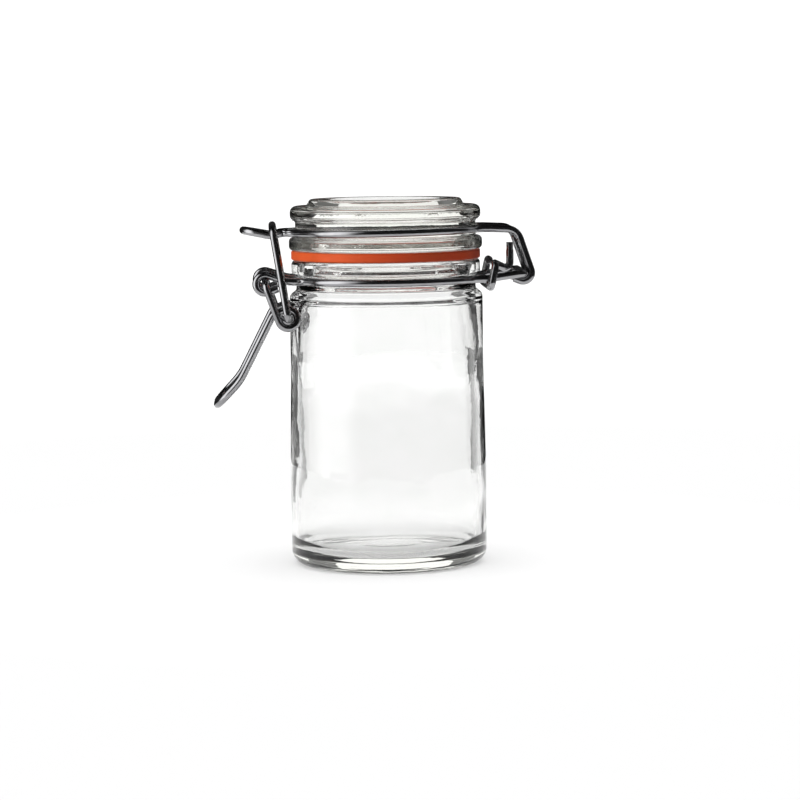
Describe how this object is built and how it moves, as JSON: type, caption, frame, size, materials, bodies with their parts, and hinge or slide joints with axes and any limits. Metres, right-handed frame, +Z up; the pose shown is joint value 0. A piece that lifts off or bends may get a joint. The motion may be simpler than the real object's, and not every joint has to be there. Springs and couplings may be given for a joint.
{
  "type": "clip-top jar",
  "caption": "Small round glass jar with a hinged glass lid, an orange rubber seal and a steel wire clasp.",
  "frame": {"origin": "middle of the jar's standing ring, on the surface it stands on", "axes": "+Z up along the jar's axis, +X towards the hinge, so the clasp is on -X; +Y is across the jar"},
  "size_m": [0.0769, 0.047, 0.0877],
  "materials": {
    "glass": "clear pressed soda glass, polished, faintly grey-green where thick",
    "seal_rubber": "matt orange-red rubber",
    "wire_steel": "bright drawn steel wire"
  },
  "bodies": {
    "jar": {"jar_glass": "glass", "neck_wire": "wire_steel", "tie": "wire_steel"},
    "lid": {"lid_glass": "glass", "gasket": "seal_rubber", "lid_wire": "wire_steel"},
    "lever": {"lever": "wire_steel"},
    "link": {"link": "wire_steel"}
  },
  "joints": [
    {"name": "lid_hinge", "type": "hinge", "parent": "jar", "child": "lid", "pos_m": [0.0323, 0, 0.06975], "axis": [0, 1, 0], "range_deg": [0, 200]},
    {"name": "lever_pivot", "type": "hinge", "parent": "jar", "child": "lever", "pos_m": [-0.029, 0, 0.0681], "axis": [0, 1, 0], "range_deg": [0, 100]},
    {"name": "link_pivot", "type": "hinge", "parent": "lever", "child": "link", "pos_m": [-0.0237, 0, 0.05985], "axis": [0, 1, 0], "range_deg": [-125, 0]}
  ],
  "couplings": [
    {"joint": "lever_pivot", "follows": "lid_hinge", "ratio": 0.5},
    {"joint": "link_pivot", "follows": "lid_hinge", "ratio": -0.625}
  ]
}
